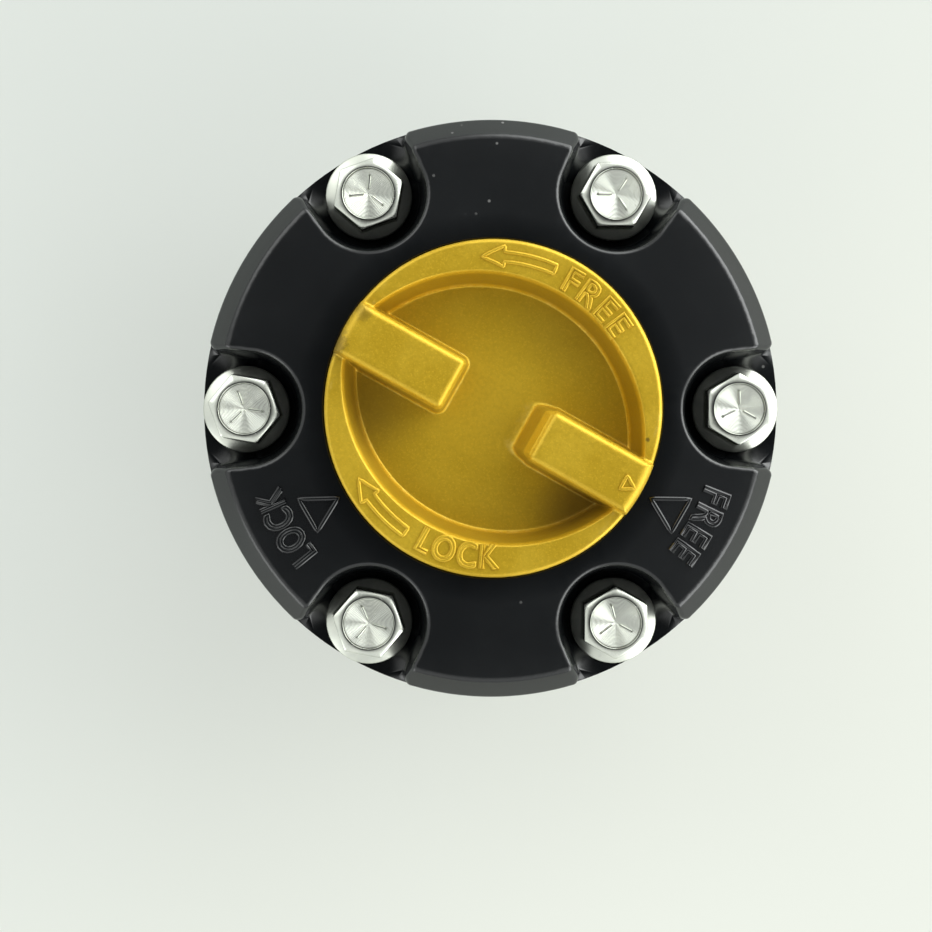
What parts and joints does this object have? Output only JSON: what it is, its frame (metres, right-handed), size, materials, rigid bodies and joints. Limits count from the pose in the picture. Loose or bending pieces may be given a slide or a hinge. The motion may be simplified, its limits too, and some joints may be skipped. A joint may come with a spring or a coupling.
{
  "type": "manual locking wheel hub",
  "caption": "Manual locking hub: a lobed black cover with flange bolts in its notches, a turning gold control knob, and a splined spigot with a sliding clutch inside.",
  "frame": {"origin": "on the hub's axis, at the flange face that bolts to the wheel hub", "axes": "+Z along the axis out of the wheel, towards the control knob; +X through the first flange bolt; +Y up in the picture"},
  "size_m": [0.11, 0.11, 0.0645],
  "materials": {
    "body_steel": "machined, oiled",
    "black_paint": "satin black",
    "gold_paint": "gold metallic paint",
    "zinc_plate": "bright zinc plate",
    "machined_steel": "machined",
    "polished_steel": "polished",
    "spring_steel": "oil black",
    "bronze": "sintered, oiled",
    "seal_rubber": "matte",
    "gasket": "pressed fibre"
  },
  "bodies": {
    "housing": {"hub_body": "body_steel", "cover_gasket": "gasket", "cover": "black_paint", "clutch_spring": "spring_steel", "inner_hub_bush": "bronze", "front_thrust_washer": "machined_steel", "rear_thrust_washer": "machined_steel", "flange_bolt_1": "zinc_plate", "flange_bolt_2": "zinc_plate", "flange_bolt_3": "zinc_plate", "flange_bolt_4": "zinc_plate", "flange_bolt_5": "zinc_plate", "flange_bolt_6": "zinc_plate"},
    "knob": {"control_knob": "gold_paint", "knob_seal": "seal_rubber", "cam_sleeve": "machined_steel", "knob_snap_ring": "spring_steel", "detent_ball": "polished_steel", "detent_spring": "spring_steel"},
    "clutch": {"clutch_ring": "machined_steel", "follower": "machined_steel", "follower_keeper": "spring_steel"},
    "axle_hub": {"inner_hub": "machined_steel", "rear_snap_ring": "spring_steel"}
  },
  "joints": [
    {"name": "knob_turn", "type": "hinge", "parent": "housing", "child": "knob", "pos_m": [0, 0, 0], "axis": [0, 0, 1], "range_deg": [-120, 0]},
    {"name": "clutch_slide", "type": "slide", "parent": "housing", "child": "clutch", "axis": [0, 0, 1], "range_m": [-0.006, 0], "deforming": ["clutch_spring"]},
    {"name": "inner_hub_spin", "type": "hinge", "parent": "housing", "child": "axle_hub", "pos_m": [0, 0, 0], "axis": [0, 0, 1], "continuous": true}
  ],
  "couplings": [
    {"joint": "clutch_slide", "follows": "knob_turn", "m_per_rad": 0.002864}
  ]
}
